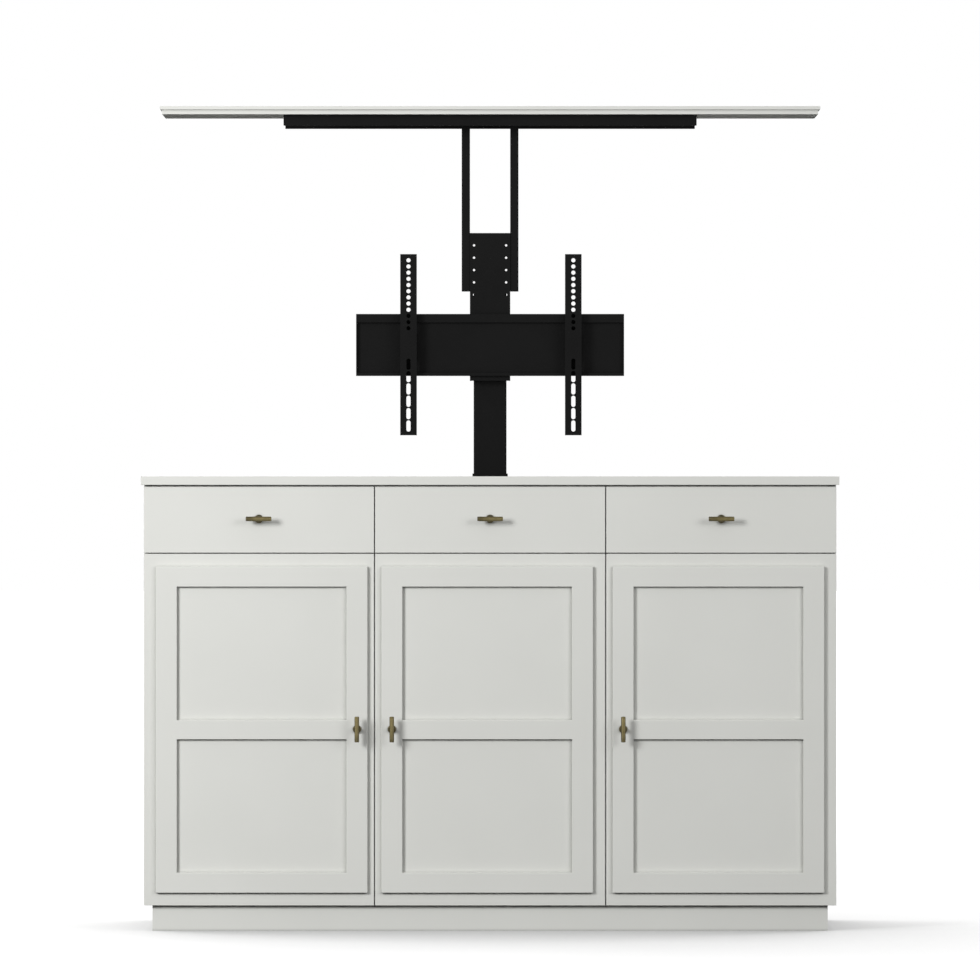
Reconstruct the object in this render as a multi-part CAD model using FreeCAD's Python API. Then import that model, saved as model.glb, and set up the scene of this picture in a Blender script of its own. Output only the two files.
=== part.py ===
import FreeCAD, Part
import os

# Television lift cabinet: three drawers over three cupboards in front, and a bay behind them from
# which a telescopic lift raises the lid and the television arms.
# Millimetres, +Z up, the doors face -Y. The origin is the middle of the overall box, on the floor.
# The lift is modelled raised. Depths are measured back from the front face of the door slabs.

# ---- case ----
case_width = 1650.0          # over the side panels and over the row of fronts
board = 18.0                 # thickness of the case boards
plinth_height = 61.0
plinth_recess = 14.0         # plinth face behind the door faces
plinth_side_recess = 19.9    # plinth ends inside the case sides
plinth_back_recess = 20.0
door_height = 838.0
drawer_front_height = 157.5
front_gap = 2.5              # joint between neighbouring fronts
front_thickness = 18.0
front_clearance = 2.0        # between the back of the fronts and the case edges
top_reveal = 4.0             # shadow gap under the countertop
top_thickness = 20.5
lid_thickness = 19.4         # both boards of the lid together
top_overhang = 7.0           # beyond the case sides and the door faces
top_back_overhang = 3.0
cupboard_depth = 219.0
bay_depth = 221.0
back_thickness = 12.0

# ---- inside of the case ----
rail_depth = 60.0
shelf_hinge_gap = 34.5       # between the shelves and the hinge plates above them
shelf_clearance = 0.5        # between a shelf and the boards beside and behind it
shelf_setback = 15.0
pin_radius = 2.5
pin_reach = 8.0
pin_flange_radius = 5.0
pin_flange = 1.5
pin_inset = 32.0             # pins from the front and back edges of the shelf
grommet_x = 400.0
grommet_height = 600.0
grommet_radius = 40.0        # of the hole in the back panel
grommet_wall = 4.0
grommet_flange = 6.0
grommet_flange_thickness = 2.0

# ---- lid and its opening ----
lid_side_margin = 30.0       # case side to the lower, narrow part of the opening
lid_ledge = 4.8              # ledge that carries the lid edge
lid_board = 8.3              # upper board of the lid
lid_gap = 2.0                # round the lid
lid_seat = 0.3               # between ledge and lowered lid
lid_arris = 0.3              # chamfer along the joint of the two lid boards

# ---- doors ----
frame_raise = 9.0
frame_margin_hinge = 29.0    # raised frame from the hinge edge
frame_margin_handle = 15.3
frame_margin_end = 30.5      # from the top and bottom edges
stile_width = 50.0
rail_width = 48.0
middle_rail_width = 46.0
hinge_axis_inset = 8.0       # door axis from the hinge edge of the door
hinge_axis_ahead = 2.0       # door axis in front of the slab face
hinge_end_inset = 100.0      # outer hinges from the door ends
cup_radius = 17.5
cup_depth = 12.5
cup_wall = 1.5
cup_inset = 22.5             # cup centre from the hinge edge
cup_fit = 0.05
cup_flange_width = 16.0
cup_flange_height = 52.0
cup_flange_thickness = 1.2
hinge_gap = 0.4              # between cup flange and hinge arm
hinge_arm_offset = 6.0       # thickness of the mounting plate, which carries the arm
hinge_arm_width = 12.0
hinge_arm_height = 14.0
hinge_arm_length = 58.0
hinge_plate_length = 45.0
hinge_plate_height = 50.0
hinge_plate_setback = 14.0   # mounting plate from the front edge of the panel

# ---- handles ----
handle_length = 61.0
handle_radius = 5.5
handle_projection = 30.0
handle_stem_radius = 4.5
handle_rose_radius = 10.0
handle_rose_thickness = 4.0
door_handle_rise = 1.3       # above the middle of the door
drawer_handle_rise = 2.0     # above the middle of the drawer front

# ---- drawers ----
slide_space = 13.0           # for the slides on each side of a drawer box
slide_back_gap = 17.0        # between the slides and the bay partition
slide_height = 45.0
slide_wall = 1.5
slide_flange = 10.0
slide_clearance = 0.3
drawer_wall = 12.0
drawer_bottom = 6.0
drawer_bottom_lift = 8.0
drawer_box_height = 110.0
drawer_back_gap = 9.0        # between the drawer box and the bay partition
drawer_box_lift = 5.0        # box above the deck board

# ---- lift column: three nested tubes ----
column_width = 92.0          # outer tube
column_depth = 70.0
column_wall = 2.5
column_slip = 0.5            # clearance between nested tubes
column_radius = 3.0          # outside corners
column_inside_radius = 0.5
column_standoff = 14.0       # outer tube from the back panel
column_top = 642.0           # top of the fixed tube above the floor
column_step = 1.5            # each lowered tube stands this much above the one outside it
stage_travel = 447.6         # travel of each moving tube in the one outside it
collar_height = 12.0
collar_chamfer = 0.4
collar_slip = 0.3
foot_clearance = 2.0         # under each lowered tube
base_side_toe = 24.0         # base plate beyond the gearbox
base_thickness = 6.0
base_front_toe = 6.0
base_screw_radius = 3.0
base_screw_head = 5.5
base_screw_head_height = 4.0
base_screw_inset = 12.0
base_hole_play = 0.3
strap_width = 200.0
strap_height = 40.0
strap_thickness = 4.0
strap_foot_rise = 96.0       # lower strap above the base plate
strap_top_drop = 82.0        # foot of the upper strap below the top of the outer tube
actuator_radius = 20.0
actuator_wall = 2.0
actuator_slip = 0.5
actuator_head_room = 23.0    # between the lowest tube and the lowered mast plug
gearbox_width = 100.0
gearbox_height = 56.0
gearbox_depth = 50.0
motor_radius = 30.0
motor_height = 150.0

# ---- head of the lift ----
plate_side_clearance = 3.0   # head plate channel beyond each side of the outer tube
plate_channel_depth = 26.0
plate_sheet = 3.0
plate_height = 359.2
plate_top_rise = 135.5       # head plate above the top of the mast
plate_column_gap = 4.0       # head plate channel in front of the outer tube
plate_hole_spacing = 78.0
plate_hole_pitch = 30.0
plate_hole_rows = 5
plate_hole_radius = 2.75
plate_hole_top = 30.0        # first row below the top edge
bracket_width = 70.0
bracket_thickness = 6.0
bracket_height = 100.0
bracket_gusset = 4.0
plug_height = 20.0
plug_slip = 0.2
upright_width = 20.0
upright_depth = 40.0
upright_wall = 2.0
upright_setback = 2.5        # behind the face of the head plate
upright_overlap = 141.3      # beside the head plate
flange_bolt_radius = 3.0
flange_bolt_play = 0.2
flange_bolt_head = 5.0
flange_bolt_head_height = 4.0
flange_nut_height = 5.0
flange_bolt_rise = 30.0      # lower bolts above the foot of the uprights
flange_bolt_spacing = 80.0
flange_bolt_depth = 14.0     # behind the face of the head plate
carrier_length = 1000.0
carrier_depth = 166.0
carrier_height = 26.5
carrier_sheet = 2.0
carrier_corner = 1.0
crossbar_length = 651.0
crossbar_height = 150.6
crossbar_depth = 12.0
crossbar_sheet = 2.0
crossbar_top_lip = 21.0
crossbar_bottom_lip = 8.0
crossbar_drop = 197.0        # top edge below the top of the head plate
arm_spacing = 400.0
arm_shift = 2.0              # of both arms, along the crossbar
arm_width = 40.0
arm_height = 439.6
arm_depth = 22.0
arm_sheet = 2.0
arm_rise = 144.7             # top of the arms above the top of the crossbar
arm_hole_radius = 5.0
arm_hole_count = 12
arm_hole_pitch = 15.0
arm_hole_top = 15.0          # first hole below the top edge
arm_slot_length = 27.0
arm_slot_count = 6
arm_slot_bridge = 3.0        # metal between two slots
arm_slot_bottom = 22.5       # lowest slot centre above the bottom edge
hook_width = 34.0
hook_sheet = 3.0
hook_drop = 40.0
hook_play = 0.3

# ---- control box ----
control_width = 200.0
control_depth = 40.0
control_height = 120.0
control_x = -420.0
control_level = 700.0
control_cover = 3.0
socket_width = 48.0
socket_height = 27.0
socket_depth = 18.0
socket_wall = 2.0
socket_proud = 4.0

past = 1.0                   # how far a cutter runs past the face that it opens

# ---- depths behind the door faces ----
case_front = front_thickness + front_clearance
partition_front = case_front + cupboard_depth
bay_front = partition_front + board
bay_back = bay_front + bay_depth
case_back = bay_back + back_thickness
top_back = case_back + top_back_overhang
column_front = bay_back - column_standoff - column_depth
column_axis = column_front + column_depth / 2
plate_back = column_front - plate_column_gap
plate_front = plate_back - plate_channel_depth
crossbar_front = plate_front - crossbar_depth
arm_front = crossbar_front - arm_depth
lid_axis = (bay_front + bay_back) / 2
slide_front = case_front + front_clearance
slide_back = partition_front - slide_back_gap
foremost = frame_raise + handle_projection
face_y = (foremost - top_back) / 2      # puts the origin in the middle of the overall depth

# ---- heights ----
case_top = plinth_height + door_height + front_gap + drawer_front_height + top_reveal
top_level = case_top + top_thickness
deck_middle = plinth_height + door_height + front_gap / 2
drawer_front_foot = plinth_height + door_height + front_gap
floor_level = plinth_height + board
foot_level = floor_level + base_thickness
lift_travel = 2 * stage_travel
shelf_height = (plinth_height + door_height / 2 - hinge_plate_height / 2 - shelf_hinge_gap
                - board)
lid_top = top_level + lift_travel
lid_foot = lid_top - lid_thickness
carrier_foot = lid_foot - carrier_height
middle_top = column_top + column_step + stage_travel
middle_foot = foot_level + foot_clearance + stage_travel
mast_top = column_top + 2 * column_step + lift_travel
mast_foot = foot_level + 2 * foot_clearance + lift_travel
actuator_length = column_top - plug_height - actuator_head_room - foot_level
plate_top = mast_top + plate_top_rise
upright_foot = plate_top - upright_overlap
crossbar_top = plate_top - crossbar_drop
crossbar_foot = crossbar_top - crossbar_height
arm_top = crossbar_top + arm_rise

# ---- widths ----
half_case = case_width / 2
half_inside = half_case - board
front_width = (case_width - 2 * front_gap) / 3
front_pitch = front_width + front_gap
divider_x = front_pitch / 2
half_opening = half_case - lid_side_margin
plate_width = column_width + 2 * plate_side_clearance
middle_width = column_width - 2 * (column_wall + column_slip)
middle_depth = column_depth - 2 * (column_wall + column_slip)
mast_width = middle_width - 2 * (column_wall + column_slip)
mast_depth = middle_depth - 2 * (column_wall + column_slip)
base_half_width = column_width / 2 + gearbox_width + base_side_toe

# ---- the three bays of fronts: name, centre, hinge side (-1 left, +1 right), clear opening ----
BAYS = (
    ("left", -front_pitch, -1, -half_inside, -divider_x - board / 2),
    ("middle", 0.0, 1, -divider_x + board / 2, divider_x - board / 2),
    ("right", front_pitch, 1, divider_x + board / 2, half_inside),
)
HINGE_LEVELS = (
    plinth_height + hinge_end_inset,
    plinth_height + door_height / 2,
    plinth_height + door_height - hinge_end_inset,
)


def box(x0, x1, depth0, depth1, z0, z1):
    """A block between two depths behind the door faces."""
    corner = FreeCAD.Vector(min(x0, x1), face_y + depth0, z0)
    return Part.makeBox(abs(x1 - x0), depth1 - depth0, z1 - z0, corner)


def upright_rod(x, depth, z0, z1, radius):
    start = FreeCAD.Vector(x, face_y + depth, z0)
    return Part.makeCylinder(radius, z1 - z0, start, FreeCAD.Vector(0, 0, 1))


def depth_rod(x, depth0, depth1, z, radius):
    start = FreeCAD.Vector(x, face_y + depth0, z)
    return Part.makeCylinder(radius, depth1 - depth0, start, FreeCAD.Vector(0, 1, 0))


def cross_rod(x0, x1, depth, z, radius):
    start = FreeCAD.Vector(min(x0, x1), face_y + depth, z)
    return Part.makeCylinder(radius, abs(x1 - x0), start, FreeCAD.Vector(1, 0, 0))


def plane_piece(points, depth0, depth1):
    """A plate with the given (x, z) outline between two depths."""
    vectors = [FreeCAD.Vector(x, face_y + depth0, z) for x, z in points]
    outline = Part.makePolygon(vectors + vectors[:1])
    return Part.Face(outline).extrude(FreeCAD.Vector(0, depth1 - depth0, 0))


def upright_edges(shape):
    """Edges of a shape that run along Z."""
    return [edge for edge in shape.Edges if abs(edge.tangentAt(edge.FirstParameter).z) > 0.999]


def edges_at_level(shape, level):
    """Edges of a shape that lie at one height."""
    tolerance = 0.001
    box_of = [(edge, edge.BoundBox) for edge in shape.Edges]
    return [edge for edge, size in box_of
            if abs(size.ZMin - level) < tolerance and abs(size.ZMax - level) < tolerance]


def column_block(width, depth, z0, z1, radius):
    """A block on the lift axis with rounded upright edges."""
    block = box(-width / 2, width / 2, column_axis - depth / 2, column_axis + depth / 2, z0, z1)
    return block.makeFillet(radius, upright_edges(block))


def save(name, pieces):
    shape = pieces[0] if len(pieces) == 1 else Part.makeCompound(pieces)
    shape.exportStep(os.path.join("parts", name + ".step"))


# ---------------------------------------------------------------- case

def side_panel(side):
    return [box(side * half_inside, side * half_case, case_front, case_back, plinth_height, case_top)]


def bottom_panel():
    return [box(-half_inside, half_inside, case_front, bay_back, plinth_height, floor_level)]


def divider(side):
    x = side * divider_x
    return [box(x - board / 2, x + board / 2, case_front, partition_front, floor_level, case_top)]


def bay_partition():
    return [box(-half_inside, half_inside, partition_front, bay_front, floor_level, case_top)]


def back_panel():
    panel = box(-half_inside, half_inside, bay_back, case_back, plinth_height, case_top)
    hole = depth_rod(grommet_x, bay_back - past, case_back + past, grommet_height, grommet_radius)
    return [panel.cut(hole)]


def cable_grommet():
    sleeve = depth_rod(grommet_x, bay_back, case_back, grommet_height, grommet_radius)
    flange = depth_rod(grommet_x, case_back, case_back + grommet_flange_thickness,
                       grommet_height, grommet_radius + grommet_flange)
    bore = depth_rod(grommet_x, bay_back - past, top_back + past, grommet_height,
                     grommet_radius - grommet_wall)
    return [sleeve.fuse(flange).cut(bore)]


def case_rails():
    """Per bay a deck under the drawer and a rail under the countertop."""
    rails = []
    for _, _, _, x0, x1 in BAYS:
        rails.append(box(x0, x1, case_front, partition_front,
                         deck_middle - board / 2, deck_middle + board / 2))
        rails.append(box(x0, x1, case_front, case_front + rail_depth, case_top - board, case_top))
    return rails


def plinth():
    half = half_case - plinth_side_recess
    back = case_back - plinth_back_recess
    inner_front = plinth_recess + board
    inner_back = back - board
    pieces = [
        box(-half, half, plinth_recess, inner_front, 0, plinth_height),
        box(-half, half, inner_back, back, 0, plinth_height),
    ]
    for x in (-half + board / 2, -divider_x, divider_x, half - board / 2):
        pieces.append(box(x - board / 2, x + board / 2, inner_front, inner_back, 0, plinth_height))
    return pieces


def shelf_depths():
    return case_front + shelf_setback, partition_front - shelf_clearance


def shelves():
    front, back = shelf_depths()
    return [box(x0 + shelf_clearance, x1 - shelf_clearance, front, back,
                shelf_height, shelf_height + board)
            for _, _, _, x0, x1 in BAYS]


def shelf_pins():
    front, back = shelf_depths()
    level = shelf_height - pin_radius
    pins = []
    for _, _, _, x0, x1 in BAYS:
        for x, inward in ((x0, 1), (x1, -1)):
            for depth in (front + pin_inset, back - pin_inset):
                peg = cross_rod(x, x + inward * pin_reach, depth, level, pin_radius)
                flange = cross_rod(x, x + inward * pin_flange, depth, level, pin_flange_radius)
                over_shelf = box(x, x + inward * pin_reach, depth - pin_flange_radius,
                                 depth + pin_flange_radius, shelf_height,
                                 shelf_height + pin_flange_radius)
                pins.append(peg.fuse(flange).cut(over_shelf))
    return pins


def countertop():
    """One board with a rebated opening for the lid."""
    half = half_case + top_overhang
    rebate_floor = top_level - lid_board - lid_seat
    slab = box(-half, half, -top_overhang, top_back, case_top, top_level)
    opening = box(-half_opening, half_opening, bay_front, bay_back, case_top - past, top_level + past)
    rebate = box(-half_opening - lid_ledge, half_opening + lid_ledge, bay_front - lid_ledge,
                 bay_back + lid_ledge, rebate_floor, top_level + past)
    return [slab.cut(opening).cut(rebate)]


# ---------------------------------------------------------------- doors

def door_edges(centre):
    return centre - front_width / 2, centre + front_width / 2


def cup_centre(centre, side):
    return centre + side * (front_width / 2 - cup_inset)


def door_slab(centre, side):
    x0, x1 = door_edges(centre)
    slab = box(x0, x1, 0, front_thickness, plinth_height, plinth_height + door_height)
    for level in HINGE_LEVELS:
        slab = slab.cut(depth_rod(cup_centre(centre, side), front_thickness - cup_depth,
                                  front_thickness + past, level, cup_radius + cup_fit))
    return [slab]


def door_frame(centre, side):
    """Two stiles and three rails glued on the slab."""
    x0, x1 = door_edges(centre)
    left = x0 + (frame_margin_hinge if side < 0 else frame_margin_handle)
    right = x1 - (frame_margin_hinge if side > 0 else frame_margin_handle)
    low = plinth_height + frame_margin_end
    high = plinth_height + door_height - frame_margin_end
    middle = (low + high) / 2
    inner_left = left + stile_width
    inner_right = right - stile_width
    members = [
        box(left, inner_left, -frame_raise, 0, low, high),
        box(inner_right, right, -frame_raise, 0, low, high),
    ]
    rails = (
        (low, low + rail_width),
        (middle - middle_rail_width / 2, middle + middle_rail_width / 2),
        (high - rail_width, high),
    )
    for z0, z1 in rails:
        members.append(box(inner_left, inner_right, -frame_raise, 0, z0, z1))
    return members


def hinge_cups(centre, side):
    """Cups let into the back of the door, each with a flange on the door's back face."""
    x = cup_centre(centre, side)
    cups = []
    for level in HINGE_LEVELS:
        cup_floor = front_thickness - cup_depth + cup_fit
        cup = depth_rod(x, cup_floor, front_thickness, level, cup_radius)
        flange = box(x - cup_flange_width / 2, x + cup_flange_width / 2, front_thickness,
                     front_thickness + cup_flange_thickness,
                     level - cup_flange_height / 2, level + cup_flange_height / 2)
        rim = depth_rod(x, front_thickness, front_thickness + cup_flange_thickness, level, cup_radius)
        hollow = depth_rod(x, cup_floor + cup_wall, front_thickness + cup_depth, level,
                           cup_radius - cup_wall)
        cups.append(cup.fuse(flange).fuse(rim).cut(hollow))
    return cups


def hinge_arms():
    """Mounting plates with their arms, fixed to the side panels and the right divider."""
    arms = []
    plate_start = case_front + hinge_plate_setback
    arm_start = front_thickness + cup_flange_thickness + hinge_gap
    for _, _, side, x0, x1 in BAYS:
        wall = x0 if side < 0 else x1
        inner = wall - side * hinge_arm_offset
        for level in HINGE_LEVELS:
            plate = box(wall, inner, plate_start, plate_start + hinge_plate_length,
                        level - hinge_plate_height / 2, level + hinge_plate_height / 2)
            arm = box(inner, inner - side * hinge_arm_width, arm_start,
                      arm_start + hinge_arm_length,
                      level - hinge_arm_height / 2, level + hinge_arm_height / 2)
            arms.append(plate.fuse(arm))
    return arms


def t_handle(x, face, z, along_x):
    """A round bar on a stem with a round rosette, on a face at the given depth."""
    bar_depth = face - handle_projection + handle_radius
    half = handle_length / 2
    rose = depth_rod(x, face - handle_rose_thickness, face, z, handle_rose_radius)
    stem = depth_rod(x, bar_depth, face, z, handle_stem_radius)
    if along_x:
        bar = cross_rod(x - half, x + half, bar_depth, z, handle_radius)
    else:
        bar = upright_rod(x, bar_depth, z - half, z + half, handle_radius)
    return [rose.fuse(stem).fuse(bar)]


def door_handle(centre, side):
    x = centre - side * (front_width / 2 - frame_margin_handle - stile_width / 2)
    return t_handle(x, -frame_raise, plinth_height + door_height / 2 + door_handle_rise, False)


# ---------------------------------------------------------------- drawers

def drawer_box_foot():
    return deck_middle + board / 2 + drawer_box_lift


def slide_level():
    return drawer_box_foot() + drawer_box_height / 2


def drawer_front(centre):
    x0, x1 = door_edges(centre)
    return [box(x0, x1, 0, front_thickness, drawer_front_foot,
                drawer_front_foot + drawer_front_height)]


def drawer_box(x0, x1):
    """Two sides, a front, a back and a bottom between them."""
    left = x0 + slide_space
    right = x1 - slide_space
    foot = drawer_box_foot()
    top = foot + drawer_box_height
    front = front_thickness
    back = partition_front - drawer_back_gap
    inner_left = left + drawer_wall
    inner_right = right - drawer_wall
    bottom_z = foot + drawer_bottom_lift
    return [
        box(left, inner_left, front, back, foot, top),
        box(inner_right, right, front, back, foot, top),
        box(inner_left, inner_right, front, front + drawer_wall, foot, top),
        box(inner_left, inner_right, back - drawer_wall, back, foot, top),
        box(inner_left, inner_right, front + drawer_wall, back - drawer_wall,
            bottom_z, bottom_z + drawer_bottom),
    ]


def slide_channels():
    """Channels of the drawer slides, on the boards beside each drawer."""
    z = slide_level()
    half = slide_height / 2
    channels = []
    for _, _, _, x0, x1 in BAYS:
        for x, inward in ((x0, 1), (x1, -1)):
            block = box(x, x + inward * slide_flange, slide_front, slide_back,
                        z - half, z + half)
            hollow = box(x + inward * slide_wall, x + inward * (slide_flange + past),
                         slide_front - past, slide_back + past,
                         z - half + slide_wall, z + half - slide_wall)
            channels.append(block.cut(hollow))
    return channels


def slide_bars(x0, x1):
    """Bars on the drawer box that run in the channels."""
    z = slide_level()
    half = slide_height / 2 - slide_wall - slide_clearance
    return [box(x + inward * (slide_wall + slide_clearance), x + inward * slide_space,
                slide_front, slide_back, z - half, z + half)
            for x, inward in ((x0, 1), (x1, -1))]


def drawer_handle(centre):
    level = drawer_front_foot + drawer_front_height / 2 + drawer_handle_rise
    return t_handle(centre, 0, level, True)


# ---------------------------------------------------------------- lift column

def column_tube(width, depth, z0, z1):
    outside = column_block(width, depth, z0, z1, column_radius)
    inside = column_block(width - 2 * column_wall, depth - 2 * column_wall, z0 - past, z1 + past,
                          column_inside_radius)
    return outside.cut(inside)


def collar(width, depth, top, inner_width, inner_depth):
    """Guide ring on the upper end of a tube, round the tube that slides in it."""
    ring = column_block(width, depth, top - collar_height, top, column_radius)
    ring = ring.makeChamfer(collar_chamfer, edges_at_level(ring, top))
    bore = column_block(inner_width + 2 * collar_slip, inner_depth + 2 * collar_slip,
                        top - collar_height - past, top + past, column_radius + collar_slip)
    return ring.cut(bore)


def outer_column():
    tube = column_tube(column_width, column_depth, foot_level, column_top - collar_height)
    return [tube, collar(column_width, column_depth, column_top, middle_width, middle_depth)]


def middle_column():
    tube = column_tube(middle_width, middle_depth, middle_foot, middle_top - collar_height)
    return [tube, collar(middle_width, middle_depth, middle_top, mast_width, mast_depth)]


def mast():
    return [column_tube(mast_width, mast_depth, mast_foot, mast_top)]


def base_screw_places():
    reach = base_half_width - base_screw_inset
    depths = (column_front + base_screw_inset, column_front + column_depth - base_screw_inset)
    return [(x, depth) for x in (-reach, reach) for depth in depths]


def lift_base():
    plate = box(-base_half_width, base_half_width, column_front - base_front_toe, bay_back,
                floor_level, foot_level)
    for x, depth in base_screw_places():
        plate = plate.cut(upright_rod(x, depth, floor_level - past, foot_level + past,
                                      base_screw_radius + base_hole_play))
    return [plate]


def base_screws():
    return [upright_rod(x, depth, floor_level, foot_level, base_screw_radius).fuse(
                upright_rod(x, depth, foot_level, foot_level + base_screw_head_height,
                            base_screw_head))
            for x, depth in base_screw_places()]


def column_brackets():
    """Straps on the back panel with spacers up to the outer tube."""
    column_back = column_front + column_depth
    half_column = column_width / 2 - column_radius
    pieces = []
    for level in (foot_level + strap_foot_rise, column_top - strap_top_drop):
        strap = box(-strap_width / 2, strap_width / 2, bay_back - strap_thickness, bay_back,
                    level, level + strap_height)
        spacer = box(-half_column, half_column, column_back, bay_back - strap_thickness,
                     level, level + strap_height)
        pieces.append(strap.fuse(spacer))
    return pieces


def actuator_stage(stage):
    """One of three nested tubes on the lift axis; the last is a solid rod."""
    radius = actuator_radius - stage * (actuator_wall + actuator_slip)
    foot = foot_level + stage * (foot_clearance + stage_travel)
    top = foot + actuator_length
    if stage == 2:
        return [upright_rod(0, column_axis, foot, mast_top - plug_height, radius)]
    tube = upright_rod(0, column_axis, foot, top, radius)
    bore = upright_rod(0, column_axis, foot - past, top + past, radius - actuator_wall)
    return [tube.cut(bore)]


def motor_unit():
    """Gearbox beside the foot of the outer tube with the motor standing on it."""
    start = column_width / 2
    gearbox = box(start, start + gearbox_width, column_axis - gearbox_depth / 2,
                  column_axis + gearbox_depth / 2, foot_level, foot_level + gearbox_height)
    motor_foot = foot_level + gearbox_height
    motor_x = start + gearbox_width - motor_radius
    motor = upright_rod(motor_x, column_axis, motor_foot, motor_foot + motor_height, motor_radius)
    return [gearbox, motor]


# ---------------------------------------------------------------- head of the lift

def bolt_levels():
    low = upright_foot + flange_bolt_rise
    return [low, low + flange_bolt_spacing]


def bolt_line():
    return plate_front + flange_bolt_depth


def head_bracket():
    """Angle on top of the mast, with a plug in the mast and gussets, that carries the head plate."""
    half = bracket_width / 2
    start = plate_front + plate_sheet
    end = column_axis + mast_depth / 2 - column_radius
    foot = box(-half, half, start, end, mast_top, mast_top + bracket_thickness)
    leg = box(-half, half, start, start + bracket_thickness, mast_top, mast_top + bracket_height)
    plug_half_width = mast_width / 2 - column_wall - plug_slip
    plug_half_depth = mast_depth / 2 - column_wall - plug_slip
    plug = box(-plug_half_width, plug_half_width, column_axis - plug_half_depth,
               column_axis + plug_half_depth, mast_top - plug_height, mast_top)
    bracket = foot.fuse(leg).fuse(plug)
    corner_y = face_y + start
    low = mast_top + bracket_thickness
    for x in (-half, half - bracket_gusset):
        corners = [
            FreeCAD.Vector(x, corner_y, low),
            FreeCAD.Vector(x, face_y + end, low),
            FreeCAD.Vector(x, corner_y + bracket_thickness, mast_top + bracket_height),
            FreeCAD.Vector(x, corner_y, mast_top + bracket_height),
        ]
        face = Part.Face(Part.makePolygon(corners + corners[:1]))
        bracket = bracket.fuse(face.extrude(FreeCAD.Vector(bracket_gusset, 0, 0)))
    return [bracket]


def carriage_plate():
    """Channel that opens to the rear, with two rows of small holes near its top."""
    half = plate_width / 2
    inner = half - plate_sheet
    foot = plate_top - plate_height
    block = box(-half, half, plate_front, plate_back, foot, plate_top)
    hollow = box(-inner, inner, plate_front + plate_sheet, plate_back + past,
                 foot - past, plate_top + past)
    plate = block.cut(hollow)
    for x in (-plate_hole_spacing / 2, plate_hole_spacing / 2):
        for row in range(plate_hole_rows):
            z = plate_top - plate_hole_top - row * plate_hole_pitch
            plate = plate.cut(depth_rod(x, plate_front - past, plate_front + plate_sheet + past, z,
                                        plate_hole_radius))
    for z in bolt_levels():
        plate = plate.cut(cross_rod(-half - past, half + past, bolt_line(), z,
                                    flange_bolt_radius + flange_bolt_play))
    return [plate]


def upright(side):
    """Rectangular tube beside the head plate, up to the lid carrier."""
    inner = side * plate_width / 2
    outer = inner + side * upright_width
    top = lid_foot - carrier_sheet
    front = plate_front + upright_setback
    tube = box(inner, outer, front, front + upright_depth, upright_foot, top)
    hollow = box(inner + side * upright_wall, outer - side * upright_wall,
                 front + upright_wall, front + upright_depth - upright_wall,
                 upright_foot - past, top + past)
    tube = tube.cut(hollow)
    for z in bolt_levels():
        tube = tube.cut(cross_rod(inner, inner + side * upright_wall, bolt_line(), z,
                                  flange_bolt_radius + flange_bolt_play))
    return [tube]


def flange_bolts():
    """Bolts through the flanges of the head plate, with nuts inside the uprights."""
    half = plate_width / 2
    bolts = []
    for side in (-1, 1):
        head_end = side * (half - plate_sheet)
        nut_start = side * (half + upright_wall)
        for z in bolt_levels():
            head = cross_rod(head_end - side * flange_bolt_head_height, head_end, bolt_line(), z,
                             flange_bolt_head)
            nut = cross_rod(nut_start, nut_start + side * flange_nut_height, bolt_line(), z,
                            flange_bolt_head)
            shank = cross_rod(head_end, nut_start, bolt_line(), z, flange_bolt_radius)
            bolts.append(head.fuse(shank).fuse(nut))
    return bolts


def crossbar():
    """Shallow tray that opens to the front, with a deep upper lip for the arms to hang on."""
    half = crossbar_length / 2
    sheet = crossbar_sheet
    block = box(-half, half, crossbar_front, plate_front, crossbar_foot, crossbar_top)
    hollow = box(-half + sheet, half - sheet, crossbar_front + sheet, plate_front - sheet,
                 crossbar_foot + sheet, crossbar_top - sheet)
    mouth = box(-half + sheet, half - sheet, crossbar_front - past, crossbar_front + sheet,
                crossbar_foot + crossbar_bottom_lip, crossbar_top - crossbar_top_lip)
    return [block.cut(hollow).cut(mouth)]


def slot_cutter(x, z):
    """Upright slot through the face of an arm."""
    half = arm_slot_length / 2 - arm_hole_radius
    start = arm_front - past
    end = arm_front + arm_sheet + past
    ends = [depth_rod(x, start, end, z + rise, arm_hole_radius) for rise in (-half, half)]
    middle = box(x - arm_hole_radius, x + arm_hole_radius, start, end, z - half, z + half)
    return middle.fuse(ends[0]).fuse(ends[1])


def arm_hook(x):
    """Hook over the upper edge of the crossbar and down behind it."""
    half = hook_width / 2
    low = crossbar_top + hook_play
    over = box(x - half, x + half, crossbar_front - hook_sheet, plate_front + hook_play + hook_sheet,
               low, low + hook_sheet)
    behind = box(x - half, x + half, plate_front + hook_play, plate_front + hook_play + hook_sheet,
                 crossbar_top - hook_drop, low + hook_sheet)
    return over.fuse(behind)


def tv_arm(side):
    """Perforated channel that opens to the rear, hooked on the crossbar."""
    x = arm_shift + side * arm_spacing / 2
    half = arm_width / 2
    foot = arm_top - arm_height
    block = box(x - half, x + half, arm_front, crossbar_front, foot, arm_top)
    hollow = box(x - half + arm_sheet, x + half - arm_sheet, arm_front + arm_sheet,
                 crossbar_front + past, foot - past, arm_top + past)
    arm = block.cut(hollow).fuse(arm_hook(x))
    bridge = box(x - half, x + half, crossbar_front - hook_sheet, crossbar_front,
                 crossbar_top + hook_play, crossbar_top + hook_play + hook_sheet)
    arm = arm.fuse(bridge)
    for row in range(arm_hole_count):
        z = arm_top - arm_hole_top - row * arm_hole_pitch
        arm = arm.cut(depth_rod(x, arm_front - past, arm_front + arm_sheet + past, z,
                                arm_hole_radius))
    for row in range(arm_slot_count):
        rise = arm_slot_bottom + row * (arm_slot_length + arm_slot_bridge)
        arm = arm.cut(slot_cutter(x, foot + rise))
    return [arm]


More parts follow.
